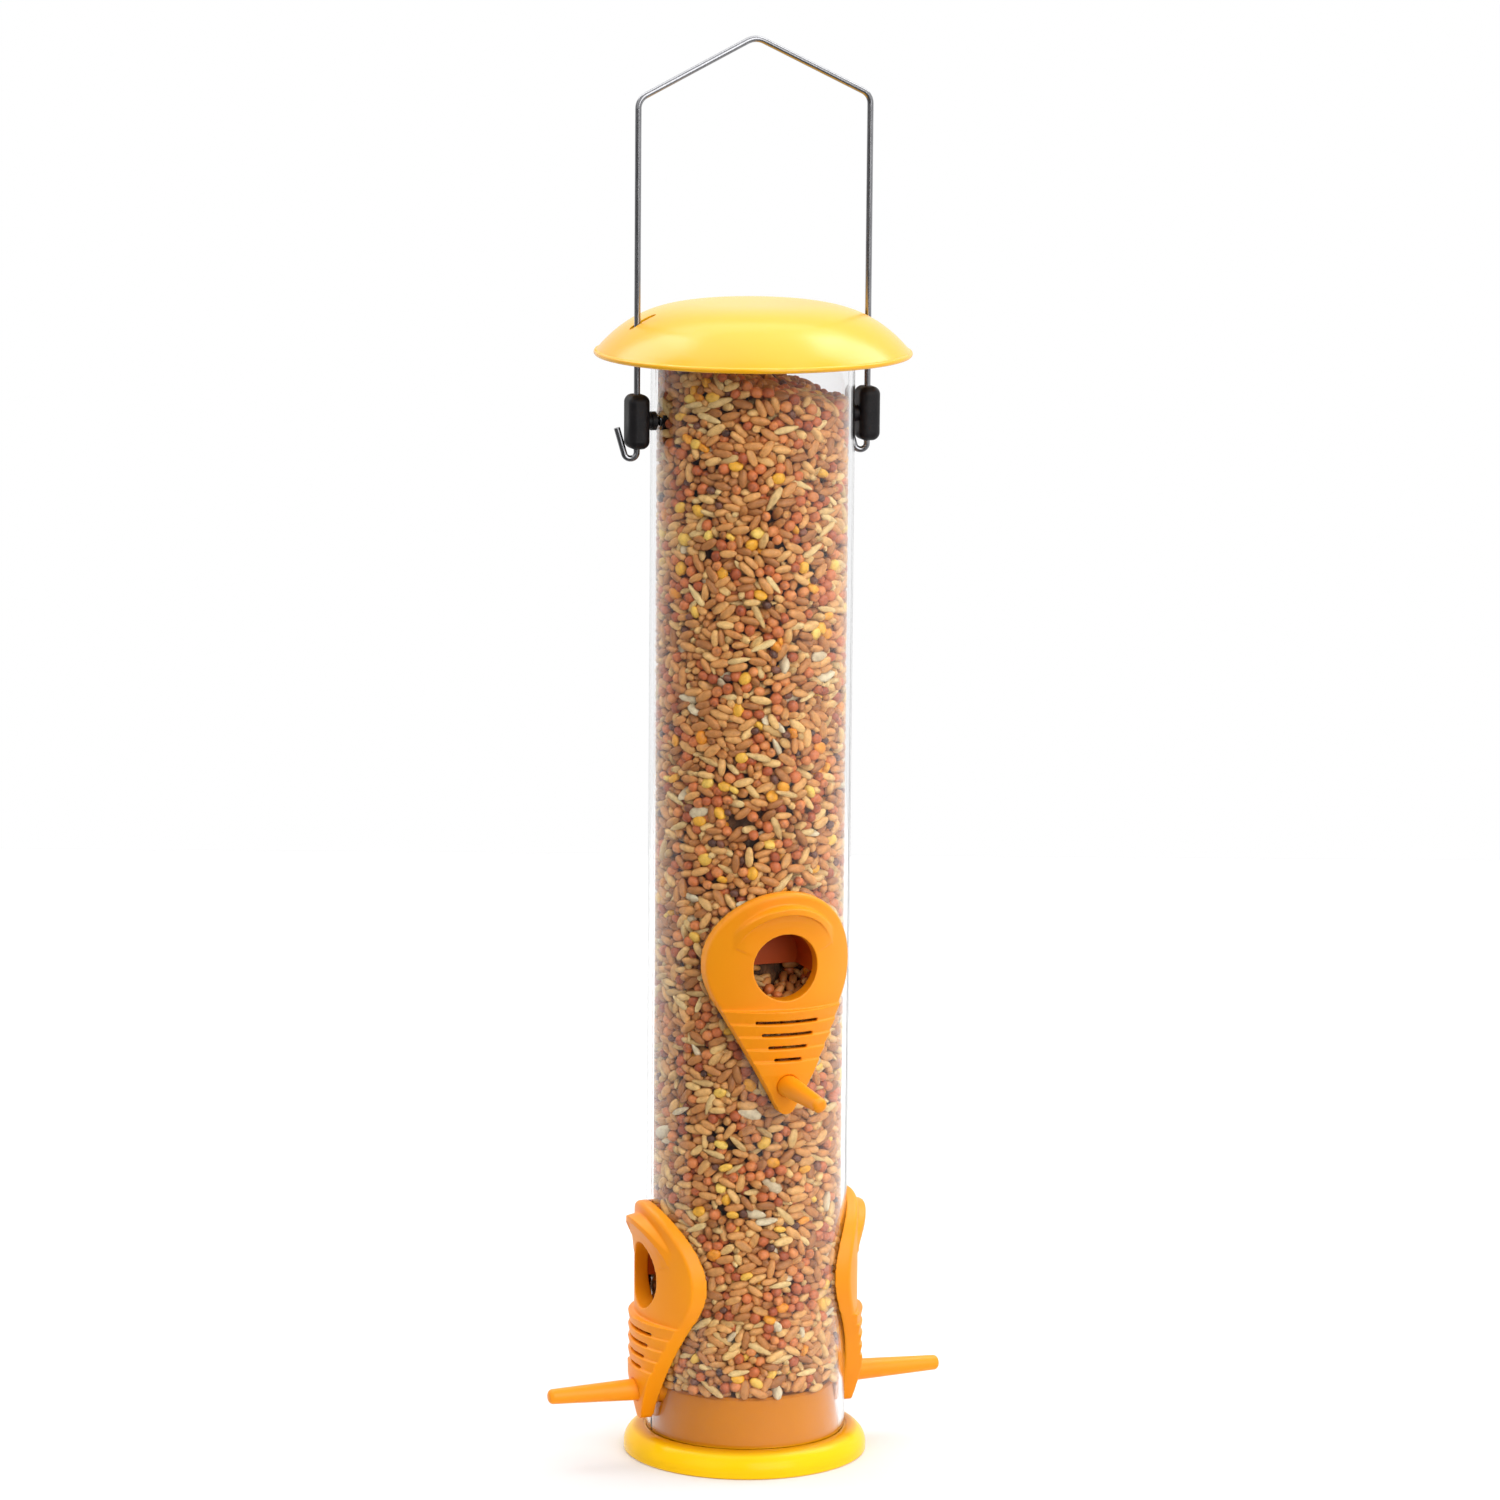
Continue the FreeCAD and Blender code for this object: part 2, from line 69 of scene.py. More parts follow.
class Nodes:
    """A new material with a Principled shader, and short calls to add and link nodes."""

    def __init__(self, name):
        self.material = bpy.data.materials.new(name)
        self.material.use_nodes = True
        self.tree = self.material.node_tree
        self.tree.nodes.clear()
        self.output = self.add("ShaderNodeOutputMaterial")
        self.shader = self.add("ShaderNodeBsdfPrincipled")
        self.join(self.shader, "BSDF", self.output, "Surface")

    def add(self, kind, **settings):
        node = self.tree.nodes.new(kind)
        for key, value in settings.items():
            setattr(node, key, value)
        return node

    def join(self, source, out_name, target, in_name):
        self.tree.links.new(source.outputs[out_name], target.inputs[in_name])

    def set(self, **values):
        for key, value in values.items():
            self.shader.inputs[key.replace("_", " ")].default_value = value

    def noise(self, scale, detail=3.0, roughness=0.5):
        place = self.add("ShaderNodeTexCoord")
        noise = self.add("ShaderNodeTexNoise")
        noise.inputs["Scale"].default_value = scale
        noise.inputs["Detail"].default_value = detail
        noise.inputs["Roughness"].default_value = roughness
        self.join(place, "Object", noise, "Vector")
        return noise

    def ramp(self, source, out_name, stops):
        ramp = self.add("ShaderNodeValToRGB")
        elements = ramp.color_ramp.elements
        while len(elements) < len(stops):
            elements.new(0.5)
        for element, (position, colour) in zip(elements, stops):
            element.position = position
            element.color = (*colour, 1.0)
        self.join(source, out_name, ramp, "Fac")
        return ramp

    def multiply(self, first, first_name, second, amount=1.0):
        """One colour times another ramp's colour."""
        mix = self.add("ShaderNodeMix", data_type="RGBA", blend_type="MULTIPLY")
        mix.inputs["Factor"].default_value = amount
        self.join(first, first_name, mix, "A")
        self.join(second, "Color", mix, "B")
        return mix

    def bump(self, source, out_name, strength, distance):
        bump = self.add("ShaderNodeBump")
        bump.inputs["Strength"].default_value = strength
        bump.inputs["Distance"].default_value = distance
        self.join(source, out_name, bump, "Height")
        self.join(bump, "Normal", self.shader, "Normal")
        return bump

    def rough(self, source, out_name, low, high):
        spread = self.add("ShaderNodeMapRange")
        spread.inputs["To Min"].default_value = low
        spread.inputs["To Max"].default_value = high
        self.join(source, out_name, spread, "Value")
        self.join(spread, "Result", self.shader, "Roughness")


# ---- materials ----

def paint_material():
    """Glossy yellow enamel on the pressed lid."""
    m = Nodes("yellow_enamel")
    tone = m.ramp(m.noise(18.0, 2.0), "Fac", [(0.3, (0.87, 0.405, 0.002)), (0.7, (0.91, 0.45, 0.004))])
    m.join(tone, "Color", m.shader, "Base Color")
    m.rough(m.noise(60.0, 4.0), "Fac", 0.20, 0.28)
    m.bump(m.noise(900.0, 2.0), "Fac", 0.05, 0.0002)
    m.set(Specular_IOR_Level=0.45, Coat_Weight=0.1, Coat_Roughness=0.2)
    return m.material


# heights in the base between which its colour changes from the flange's to the plug's darker one, painted
# shade of the plug inside the tube
PLUG_PAINTED_SHADE_FROM_Z = 7.0 * MM
PLUG_PAINTED_SHADE_TO_Z = 8.5 * MM


def base_material():
    """Moulded yellow plastic of the base, with painted shade darkening the plug inside the tube."""
    m = Nodes("yellow_plastic")
    tone = m.ramp(m.noise(25.0, 2.0), "Fac", [(0.3, (0.93, 0.52, 0.003)), (0.7, (0.96, 0.57, 0.006))])
    place = m.add("ShaderNodeTexCoord")
    split = m.add("ShaderNodeSeparateXYZ")
    m.join(place, "Object", split, "Vector")
    height = m.add("ShaderNodeMapRange")
    height.inputs["From Min"].default_value = PLUG_PAINTED_SHADE_FROM_Z
    height.inputs["From Max"].default_value = PLUG_PAINTED_SHADE_TO_Z
    m.join(split, "Z", height, "Value")
    # painted shade: the plug inside the tube is darkened towards amber
    plug_painted_shade = m.ramp(height, "Result", [(0.0, (1.0, 1.0, 1.0)), (1.0, (0.60, 0.34, 0.08))])
    m.join(m.multiply(tone, "Color", plug_painted_shade), "Result", m.shader, "Base Color")
    m.rough(m.noise(80.0, 4.0), "Fac", 0.16, 0.24)
    m.bump(m.noise(1200.0, 2.0), "Fac", 0.05, 0.0002)
    m.set(Specular_IOR_Level=0.12)
    return m.material


def port_material(name, deep, light):
    """Satin orange plastic of the ports, with a fine moulded texture."""
    m = Nodes(name)
    tone = m.ramp(m.noise(30.0, 3.0), "Fac", [(0.3, deep), (0.7, light)])
    m.join(tone, "Color", m.shader, "Base Color")
    m.rough(m.noise(150.0, 4.0), "Fac", 0.36, 0.46)
    m.bump(m.noise(1600.0, 3.0), "Fac", 0.10, 0.0002)
    m.set(Subsurface_Weight=0.12, Subsurface_Scale=0.002, Specular_IOR_Level=0.35)
    m.shader.inputs["Subsurface Radius"].default_value = (1.0, 0.45, 0.1)
    return m.material


def black_material():
    """Textured black plastic of the pivot blocks."""
    m = Nodes("black_plastic")
    tone = m.ramp(m.noise(200.0, 4.0), "Fac", [(0.35, (0.004, 0.003, 0.004)), (0.7, (0.010, 0.008, 0.009))])
    m.join(tone, "Color", m.shader, "Base Color")
    m.rough(m.noise(400.0, 4.0), "Fac", 0.40, 0.58)
    m.bump(m.noise(1500.0, 4.0), "Fac", 0.30, 0.0004)
    m.set(Specular_IOR_Level=0.3)
    return m.material


def wire_material():
    """Bright drawn steel wire with faint lengthwise drawing marks; its colour is kept dark as a painted
    reflection of a dark surround.
    """
    m = Nodes("steel_wire")
    place = m.add("ShaderNodeTexCoord")
    stretch = m.add("ShaderNodeMapping")
    stretch.inputs["Scale"].default_value = (1.0, 1.0, 0.06)
    m.join(place, "Object", stretch, "Vector")
    streak = m.add("ShaderNodeTexNoise")
    streak.inputs["Scale"].default_value = 2200.0
    streak.inputs["Detail"].default_value = 3.0
    m.join(stretch, "Vector", streak, "Vector")
    # dark grey steel colour: painted reflection of a dark surround
    tone = m.ramp(streak, "Fac", [(0.3, (0.24, 0.24, 0.25)), (0.7, (0.34, 0.34, 0.355))])
    m.join(tone, "Color", m.shader, "Base Color")
    m.rough(streak, "Fac", 0.16, 0.30)
    m.bump(streak, "Fac", 0.02, 0.00005)
    m.set(Metallic=1.0)
    return m.material


def tube_material():
    """Clear plastic. Rays from lamps pass straight through, so the seed behind is lit."""
    m = Nodes("clear_plastic")
    m.set(Transmission_Weight=1.0, IOR=1.4, Specular_IOR_Level=0.11)
    m.shader.inputs["Base Color"].default_value = (0.985, 0.985, 0.99, 1.0)
    m.rough(m.noise(35.0, 3.0), "Fac", 0.0, 0.03)
    clear = m.add("ShaderNodeBsdfTransparent")
    clear.inputs["Color"].default_value = (0.96, 0.96, 0.965, 1.0)
    path = m.add("ShaderNodeLightPath")
    mix = m.add("ShaderNodeMixShader")
    m.join(path, "Is Shadow Ray", mix, "Fac")
    m.tree.links.new(m.shader.outputs["BSDF"], mix.inputs[1])
    m.tree.links.new(clear.outputs["BSDF"], mix.inputs[2])
    m.join(mix, "Shader", m.output, "Surface")
    return m.material


def grain_material(name, stops, gloss):
    """A kind of grain. Each grain has its own tone; its crease is darkened as painted shade, and its germ end
    and tips are made darker, by its shade attribute.
    """
    m = Nodes(name)
    tone = m.add("ShaderNodeAttribute", attribute_name="tone")
    colour = m.ramp(tone, "Fac", stops)
    shade = m.add("ShaderNodeAttribute", attribute_name="shade")
    speckle = m.noise(540.0, 4.0, 0.6)
    mottle = m.ramp(speckle, "Fac", [(0.30, (0.62, 0.56, 0.50)), (0.62, (1.0, 1.0, 1.0))])
    # the shade attribute darkens the crease (painted shade) and the germ end and tips
    darker = m.ramp(shade, "Fac", [(0.0, (0.34, 0.26, 0.20)), (1.0, (1.0, 1.0, 1.0))])
    spotted = m.multiply(colour, "Color", mottle, 0.75)
    m.join(m.multiply(spotted, "Result", darker), "Result", m.shader, "Base Color")
    m.rough(speckle, "Fac", gloss, gloss + 0.2)
    m.bump(speckle, "Fac", 0.35, 0.0002)
    return m.material


def core_material():
    """Grain deep inside the filling, coloured dark brown with darker gaps between cells: painted shade."""
    m = Nodes("deep_seed_painted_shade")
    cells = m.add("ShaderNodeTexVoronoi")
    cells.inputs["Scale"].default_value = 260.0
    place = m.add("ShaderNodeTexCoord")
    m.join(place, "Object", cells, "Vector")
    # dark brown, darker between the cells: painted shade of grain inside the filling
    tone = m.ramp(cells, "Distance", [(0.1, (0.27, 0.125, 0.050)), (0.6, (0.10, 0.045, 0.020))])
    m.join(tone, "Color", m.shader, "Base Color")
    m.bump(cells, "Distance", 0.8, 0.001)
    m.set(Roughness=0.8)
    return m.material


def floor_material():
    """Plain pale studio floor."""
    m = Nodes("studio_floor")
    tone = m.ramp(m.noise(1.5, 1.0), "Fac", [(0.0, (0.73, 0.73, 0.73)), (1.0, (0.75, 0.75, 0.75))])
    m.join(tone, "Color", m.shader, "Base Color")
    m.set(Roughness=0.9)
    return m.material


def dress(node, material):
    """Give a CAD node its material. Its mesh stays as imported."""
    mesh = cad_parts[node].data
    mesh.materials.clear()
    mesh.materials.append(material)


# ---- studio ----

VIEW_TURN = math.radians(-20.0)
VIEW_RISE = math.radians(10.2)
VIEW_ROLL = 0.008
VIEW_AIM = Vector((0.0, 0.0, 0.231))
VIEW_DISTANCE = 2.1277
VIEW_LENS = 159.3
# the floor's half width, its edge in front of the feeder and its edge behind (m)
FLOOR_HALF_WIDTH = 1.1
FLOOR_FRONT = 0.14
FLOOR_BACK = -1.0


def from_camera(right, near, up):
    """A place given as seen from the camera's side: to the right, towards the camera, and up."""
    return (right * math.cos(VIEW_TURN) + near * math.sin(VIEW_TURN),
            right * math.sin(VIEW_TURN) - near * math.cos(VIEW_TURN), up)


def add_camera():
    """Camera at the viewing angle: 20 degrees to the left of the front, a little above, long lens."""
    level = math.cos(VIEW_RISE)
    towards = Vector((math.sin(VIEW_TURN) * level, -math.cos(VIEW_TURN) * level, math.sin(VIEW_RISE)))
    data = bpy.data.cameras.new("camera")
    data.lens = VIEW_LENS
    data.sensor_width = 36.0
    data.clip_start = 0.05
    data.clip_end = 50.0
    camera = bpy.data.objects.new("camera", data)
    bpy.context.collection.objects.link(camera)
    look = towards.to_track_quat("Z", "Y").to_matrix().to_4x4()
    place = Matrix.Translation(VIEW_AIM + towards * VIEW_DISTANCE)
    camera.matrix_world = place @ look @ Matrix.Rotation(VIEW_ROLL, 4, "Z")
    bpy.context.scene.camera = camera


def add_light(name, place, aim, size, watts):
    """Rectangular soft light at a place, turned towards its aim."""
    data = bpy.data.lights.new(name, "AREA")
    data.shape = "RECTANGLE"
    data.size, data.size_y = size
    data.energy = watts
    light = bpy.data.objects.new(name, data)
    bpy.context.collection.objects.link(light)
    direction = Vector(place) - Vector(aim)
    turn = direction.to_track_quat("Z", "Y").to_matrix().to_4x4()
    light.matrix_world = Matrix.Translation(Vector(place)) @ turn
    return light


def add_lights():
    """Three soft boxes overhead, two broad fills from the front, and a low light at the foot."""
    middle = (0.0, 0.0, 0.25)
    add_light("soft_left", from_camera(-0.75, -0.45, 1.25), middle, (0.55, 0.8), 4.5)
    add_light("soft_right", from_camera(0.75, -0.45, 1.25), middle, (0.55, 0.8), 5.8)
    add_light("soft_top", from_camera(0.0, -0.5, 2.3), (0.0, 0.0, 0.0), (2.2, 2.2), 24.0)
    add_light("fill_left", from_camera(-1.3, 1.5, 1.2), (0.0, 0.0, 0.3), (1.6, 1.8), 8.5)
    add_light("fill_right", from_camera(0.95, 1.8, 1.15), (0.0, 0.0, 0.3), (1.6, 1.8), 30.0)
    low_front = add_light("low_front", from_camera(0.2, 0.52, 0.015), (0.0, 0.0, 0.03), (0.66, 0.09), 0.20)
    # it lights the foot but makes no glare on the tube
    low_front.visible_glossy = False


def add_surround():
    """White surround, dimmer low down in front and to the left, as in a studio, but white to the camera."""
    world = bpy.data.worlds.new("surround")
    world.use_nodes = True
    tree = world.node_tree
    background = tree.nodes["Background"]
    place = tree.nodes.new("ShaderNodeTexCoord")
    towards = from_camera(-0.45, 0.9, 0.0)
    facing = tree.nodes.new("ShaderNodeVectorMath")
    facing.operation = "DOT_PRODUCT"
    facing.inputs[1].default_value = (*towards[:2], -0.35)
    spread = tree.nodes.new("ShaderNodeMapRange")
    spread.inputs["From Min"].default_value = -0.2
    spread.inputs["From Max"].default_value = 0.8
    spread.inputs["To Min"].default_value = 0.95
    spread.inputs["To Max"].default_value = 0.13
    path = tree.nodes.new("ShaderNodeLightPath")
    strength = tree.nodes.new("ShaderNodeMix")
    strength.inputs["B"].default_value = 1.0
    tree.links.new(place.outputs["Generated"], facing.inputs[0])
    tree.links.new(facing.outputs["Value"], spread.inputs["Value"])
    tree.links.new(path.outputs["Is Camera Ray"], strength.inputs["Factor"])
    tree.links.new(spread.outputs["Result"], strength.inputs["A"])
    tree.links.new(strength.outputs["Result"], background.inputs["Strength"])
    background.inputs["Color"].default_value = (1.0, 1.0, 1.0, 1.0)
    bpy.context.scene.world = world
    bpy.context.scene.view_settings.view_transform = "Standard"


def add_floor():
    mesh = bpy.data.meshes.new("floor")
    places = ((-FLOOR_HALF_WIDTH, FLOOR_FRONT), (FLOOR_HALF_WIDTH, FLOOR_FRONT),
              (FLOOR_HALF_WIDTH, FLOOR_BACK), (-FLOOR_HALF_WIDTH, FLOOR_BACK))
    corners = [from_camera(right, near, 0.0) for right, near in places]
    mesh.from_pydata(corners, [], [(0, 1, 2, 3)])
    floor = bpy.data.objects.new("floor", mesh)
    bpy.context.collection.objects.link(floor)
    mesh.materials.append(floor_material())
    # left out of reflections, so the tube stays as clear low down as it is higher up
    floor.visible_glossy = False


add_camera()
add_lights()
add_surround()
add_floor()
orange = port_material("orange_plastic", (0.91, 0.285, 0.001), (0.95, 0.325, 0.001))
black = black_material()
# the same orange plastic made darker for the baffles: painted shade inside the ports
shaded_orange = port_material("orange_plastic_painted_shade", (0.42, 0.058, 0.002), (0.50, 0.078, 0.003))
dress("tube", tube_material())
dress("base", base_material())
dress("lid", paint_material())
dress("hanger_wire", wire_material())
for side in SIDES:
    for kind in ("port_shield_", "perch_", "perch_cap_"):
        dress(kind + side, orange)
    dress("seed_baffle_" + side, shaded_orange)
for side in PIVOT_SIDES:
    dress("pivot_block_" + side, black)
    dress("pivot_washer_" + side, black)


# ---- the ports' shields ----

# sizes in mm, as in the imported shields
FACE_R = 36.3
HOOD_R = 19.6
HOOD_CROWN_X = 40.0
HOOD_CURVE_R = 22.0
HOOD_HALF_ANGLE = math.radians(68.0)
HOOD_STEPS = 24
# distance from the hole's middle, share of the rise from face to crest, and depth below the face
HOOD_OUTLINE = [
    (10.9, 0.0, 0.9), (11.0, 0.0, 0.0), (13.2, 0.10, 0.0), (15.2, 0.30, 0.0), (17.2, 0.62, 0.0),
    (18.5, 1.0, 0.0), (HOOD_R, 1.0, 0.0), (HOOD_R + 0.7, 0.0, 0.0), (HOOD_R + 0.8, 0.0, 0.9)]
SHIELD_VOXEL = 0.30 * MM


def face_x(across):
    """How far out the shield's face lies, following the tube's curve (mm)."""
    return math.sqrt(FACE_R ** 2 - across ** 2)


def crown_x(across):
    """How far out the hood's crest lies; it sinks into the face at the hood's ends (mm)."""
    drop = HOOD_CURVE_R ** 2 - min(across ** 2, HOOD_CURVE_R ** 2)
    crest = HOOD_CROWN_X - HOOD_CURVE_R + math.sqrt(drop)
    return max(crest, face_x(across) + 0.05)


def hood_section(angle):
    """The hood's section at an angle round the hole: a hollow slope up to the lip, then a short fall."""
    section = []
    for reach, lift, sink in HOOD_OUTLINE:
        across, up = reach * math.sin(angle), reach * math.cos(angle)
        out = face_x(across) + lift * (crown_x(across) - face_x(across)) - sink
        section.append((out * MM, across * MM, up * MM))
    return section


def loft(sections):
    """Closed mesh data through equal sections, capped at both ends."""
    size = len(sections[0])
    verts = [point for section in sections for point in section]
    faces = []
    for i in range(len(sections) - 1):
        for j in range(size):
            k = (j + 1) % size
            faces.append((i * size + j, i * size + k, (i + 1) * size + k, (i + 1) * size + j))
    faces.append(tuple(range(size))[::-1])
    faces.append(tuple((len(sections) - 1) * size + j for j in range(size)))
    return verts, faces


def moulded(mesh_object, voxel):
    """Fuse a rough closed mesh into one skin with the soft edges of a moulding."""
    fuse = mesh_object.modifiers.new("fuse", "REMESH")
    fuse.mode = "VOXEL"
    fuse.voxel_size = voxel
    fuse.use_smooth_shade = True
    soften = mesh_object.modifiers.new("soften", "SMOOTH")
    soften.factor = 0.5
    soften.iterations = 1
    depsgraph = bpy.context.evaluated_depsgraph_get()
    return bpy.data.meshes.new_from_object(mesh_object.evaluated_get(depsgraph))


def add_shields():
    """Each shield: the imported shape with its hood's hollow underside, moulded into one piece."""
    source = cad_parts["port_shield_right"].data
    rough = bmesh.new()
    rough.from_mesh(source)
    bmesh.ops.translate(rough, verts=rough.verts, vec=(0, 0, -port_centre_z("right")))
    angles = [HOOD_HALF_ANGLE * (i / HOOD_STEPS - 1) for i in range(2 * HOOD_STEPS + 1)]
    verts, faces = loft([hood_section(angle) for angle in angles])
    hood = bpy.data.meshes.new("hood")
    hood.from_pydata(verts, [], faces)
    rough.from_mesh(hood)
    bmesh.ops.recalc_face_normals(rough, faces=rough.faces)
    mesh = bpy.data.meshes.new("shield_rough")
    rough.to_mesh(mesh)
    rough.free()
    rough_object = bpy.data.objects.new("shield_rough", mesh)
    bpy.context.collection.objects.link(rough_object)
    bpy.context.view_layer.update()
    skin = moulded(rough_object, SHIELD_VOXEL)
    bpy.data.objects.remove(rough_object)
    for side in SIDES:
        mesh = skin.copy()
        turn = Matrix.Rotation(math.radians(FACING[side]), 4, "Z")
        mesh.transform(Matrix.Translation((0, 0, port_centre_z(side))) @ turn)
        mesh.materials.clear()
        mesh.materials.append(orange)
        mesh.shade_smooth()
        piece = bpy.data.objects.new("moulded_shield_" + side, mesh)
        bpy.context.collection.objects.link(piece)
        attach(piece, "feeder")
        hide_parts("port_shield_" + side)


add_shields()


# ---- the mixed seed ----

SEED_STEPS = 70
PORT_FRAMES = []
for side in SIDES:
    turn = math.radians(FACING[side])
    PORT_FRAMES.append((np.array([math.cos(turn), math.sin(turn)]), port_centre_z(side)))
CAP_R = (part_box("perch_cap_back")[1][2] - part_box("perch_cap_back")[0][2]) / 2
CAP_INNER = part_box("perch_cap_back")[0][1]
SCOOP_R = (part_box("seed_baffle_front")[1][0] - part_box("seed_baffle_front")[0][0]) / 2
SCOOP_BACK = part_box("seed_baffle_back")[0][1]
CORE_R = 23.5 * MM
CORE_R_AT_PORTS = 12.0 * MM
TOP_LAYER = 9.0 * MM
PORT_SLOPE = math.radians(20.8)
PORT_LEVEL = (22.3 * MM, -9.0 * MM)
SEED_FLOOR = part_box("base")[1][2] + 0.2 * MM
PERCH_DROP = 38.0 * MM
# what stands in the seed is kept clear by these
SCOOP_GAP = 0.3 * MM
CAP_GAP = 0.2 * MM
# the region round a port where seed can be seen through the hole
NEAR_PORT_HALF_WIDTH = 16 * MM
NEAR_PORT_HALF_HEIGHT = 18 * MM
NEAR_PORT_DROP = 4 * MM
# grains nearer than this to the tube or the heap's top are modelled finely
FINE_DEPTH = 4.5 * MM
FINE_TOP = 6 * MM
# share of the filled space that is grain
PACKING = 0.67
PAIR_REACH = 4.1 * MM
PAIRS_EVERY = 5
MAX_STEP = 1.2 * MM
OUTWARD_DRIFT = 0.04 * MM
HEAP_Z = 353.0 * MM
HEAP_SLOPE = 0.30
HEAP_FOOT_Z = 345.5 * MM
HEAP_TOWARDS = math.radians(-20.0)

# name, share of the grains, half length, half width, half depth (mm), reach of the end spheres, sphere radius
GRAINS = [
    ("wheat", 0.585, 3.15, 1.48, 1.34, 1.70, 1.30),
    ("milo", 0.23, 1.92, 1.78, 1.60, 0.14, 1.65),
    ("oat", 0.08, 4.10, 1.22, 1.05, 2.60, 1.08),
    ("kernel", 0.018, 3.90, 1.80, 1.20, 1.90, 1.42),
    ("maize", 0.055, 2.25, 1.85, 1.15, 0.65, 1.35),
    ("dark", 0.035, 1.50, 1.25, 1.15, 0.28, 1.15),
]
rng = np.random.default_rng(7)


def heap_height(x, y):
    """Height of the seed's sloping top."""
    along = x * math.cos(HEAP_TOWARDS) + y * math.sin(HEAP_TOWARDS)
    return np.maximum(HEAP_Z - HEAP_SLOPE * along, HEAP_FOOT_Z)


def near_port(points):
    """True where a point is beside one of the scoops, where seed is seen through the hole."""
    found = np.zeros(len(points), bool)
    for facing, centre_z in PORT_FRAMES:
        out = points[:, 0] * facing[0] + points[:, 1] * facing[1]
        across = points[:, 1] * facing[0] - points[:, 0] * facing[1]
        beside = abs(across) < NEAR_PORT_HALF_WIDTH
        level = abs(points[:, 2] - centre_z + NEAR_PORT_DROP) < NEAR_PORT_HALF_HEIGHT
        found |= (out > 0) & beside & level
    return found


def core_radius(points):
    """The part of the filling inside this radius is never seen and holds no grains."""
    radius = np.where(near_port(points), CORE_R_AT_PORTS, CORE_R)
    in_top = points[:, 2] > heap_height(points[:, 0], points[:, 1]) - TOP_LAYER
    return np.where(in_top, 0.0, radius)


def push_from_parts(points, radius):
    """How far each sphere has to move to stay inside the tube and outside what stands in the seed."""
    move = np.zeros_like(points)
    flat = np.hypot(points[:, 0], points[:, 1]) + 1e-9
    outward = points[:, :2] / flat[:, None]
    over = np.maximum(flat - (SEED_R - radius), 0)
    move[:, :2] -= outward * over[:, None]
    under = np.maximum(core_radius(points) + radius * 0.5 - flat, 0)
    move[:, :2] += outward * np.minimum(under, 1.0 * MM)[:, None]
    move[:, 2] += np.maximum(SEED_FLOOR + radius - points[:, 2], 0)
    move[:, 2] -= np.maximum(points[:, 2] + radius - heap_height(points[:, 0], points[:, 1]), 0)
    for facing, centre_z in PORT_FRAMES:
        out = points[:, 0] * facing[0] + points[:, 1] * facing[1]
        across = points[:, 1] * facing[0] - points[:, 0] * facing[1]
        side_axis = np.array([-facing[1], facing[0]])
        up = points[:, 2] - centre_z
        # scoop: leave by its side, its back or the slope of seed below it
        middle = np.hypot(across, up) + 1e-9
        to_side = SCOOP_R + SCOOP_GAP + radius - middle
        to_back = out - (SCOOP_BACK - SCOOP_GAP - radius)
        above = (out - PORT_LEVEL[0]) * math.sin(PORT_SLOPE) + (up - PORT_LEVEL[1]) * math.cos(PORT_SLOPE)
        to_slope = above + radius
        inside = (to_side > 0) & (to_back > 0) & (to_slope > 0)
        by_slope = inside & (to_slope <= to_side) & (to_slope <= to_back)
        by_back = inside & ~by_slope & (to_back <= to_side)
        by_side = inside & ~by_slope & ~by_back
        move[by_slope, 2] -= to_slope[by_slope]
        move[by_back, :2] -= facing * to_back[by_back, None]
        push = to_side[by_side] / middle[by_side]
        move[by_side, :2] += side_axis * (across[by_side] * push)[:, None]
        move[by_side, 2] += up[by_side] * push
        # perch cap
        drop = up + PERCH_DROP
        middle = np.hypot(across, drop) + 1e-9
        to_side = CAP_R + CAP_GAP + radius - middle
        hit = (to_side > 0) & (out > CAP_INNER - radius)
        push = to_side[hit] / middle[hit]
        move[hit, :2] += side_axis * (across[hit] * push)[:, None]
        move[hit, 2] += drop[hit] * push
    return move


def close_pairs(points, reach):
    """Pairs of points in the same or neighbouring cells of the given size."""
    cell = np.floor((points - points.min(axis=0)) / reach).astype(np.int64) + 1
    span = cell.max(axis=0) + 2
    key = (cell[:, 0] * span[1] + cell[:, 1]) * span[2] + cell[:, 2]
    order = np.argsort(key, kind="stable")
    ordered = key[order]
    firsts, seconds = [], []
    for dx, dy, dz in [(a, b, c) for a in (-1, 0, 1) for b in (-1, 0, 1) for c in (-1, 0, 1)]:
        if (dx, dy, dz) < (0, 0, 0):
            continue
        wanted = key + (dx * span[1] + dy) * span[2] + dz
        low = np.searchsorted(ordered, wanted, "left")
        count = np.searchsorted(ordered, wanted, "right") - low
        first = np.repeat(np.arange(len(points)), count)
        step = np.arange(count.sum()) - np.repeat(np.cumsum(count) - count, count)
        second = order[np.repeat(low, count) + step]
        if (dx, dy, dz) == (0, 0, 0):
            keep = first < second
            first, second = first[keep], second[keep]
        firsts.append(first)
        seconds.append(second)
    return np.concatenate(firsts), np.concatenate(seconds)


